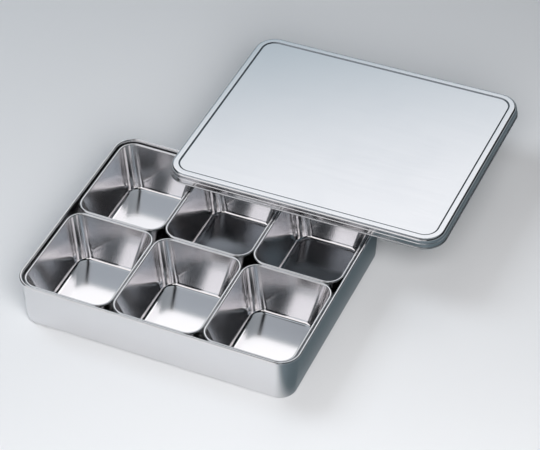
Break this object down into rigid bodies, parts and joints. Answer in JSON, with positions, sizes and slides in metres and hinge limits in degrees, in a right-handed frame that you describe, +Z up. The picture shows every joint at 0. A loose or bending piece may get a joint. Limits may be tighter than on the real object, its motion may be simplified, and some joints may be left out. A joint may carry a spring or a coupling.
{
  "type": "instrument_tray",
  "caption": "Shallow stainless steel pan with rolled rims that holds loose rectangular cups in two rows, with a press-formed lid lying askew over the back row.",
  "frame": {"origin": "centre of the pan's underside, on the surface that the pan stands on", "axes": "+X along the pan's long side to its right, +Y towards its back, +Z up; the front of the pan faces -Y"},
  "size_m": [0.4108, 0.4933, 0.0824],
  "materials": {
    "pan_steel": "satin",
    "cup_steel": "polished",
    "lid_steel": "satin"
  },
  "bodies": {
    "pan": {"outer_pan": "pan_steel"},
    "lid": {"lid": "lid_steel"},
    "front_left": {"cup_front_left": "cup_steel"},
    "front_centre": {"cup_front_centre": "cup_steel"},
    "front_right": {"cup_front_right": "cup_steel"},
    "back_left": {"cup_back_left": "cup_steel"},
    "back_centre": {"cup_back_centre": "cup_steel"},
    "back_right": {"cup_back_right": "cup_steel"}
  },
  "joints": [
    {"name": "lid_lift", "type": "slide", "parent": "pan", "child": "lid", "axis": [0, 0, 1], "range_m": [0, 0.2]},
    {"name": "front_left_lift", "type": "slide", "parent": "pan", "child": "front_left", "axis": [0, 0, 1], "range_m": [0, 0.08]},
    {"name": "front_centre_lift", "type": "slide", "parent": "pan", "child": "front_centre", "axis": [0, 0, 1], "range_m": [0, 0.08]},
    {"name": "front_right_lift", "type": "slide", "parent": "pan", "child": "front_right", "axis": [0, 0, 1], "range_m": [0, 0.08]},
    {"name": "back_left_lift", "type": "slide", "parent": "pan", "child": "back_left", "axis": [0, 0, 1], "range_m": [0, 0.08]},
    {"name": "back_centre_lift", "type": "slide", "parent": "pan", "child": "back_centre", "axis": [0, 0, 1], "range_m": [0, 0.08]},
    {"name": "back_right_lift", "type": "slide", "parent": "pan", "child": "back_right", "axis": [0, 0, 1], "range_m": [0, 0.08]}
  ],
  "couplings": [
    {"joint": "back_left_lift", "follows": "lid_lift", "ratio": 0.4},
    {"joint": "back_centre_lift", "follows": "lid_lift", "ratio": 0.4},
    {"joint": "back_right_lift", "follows": "lid_lift", "ratio": 0.4}
  ]
}
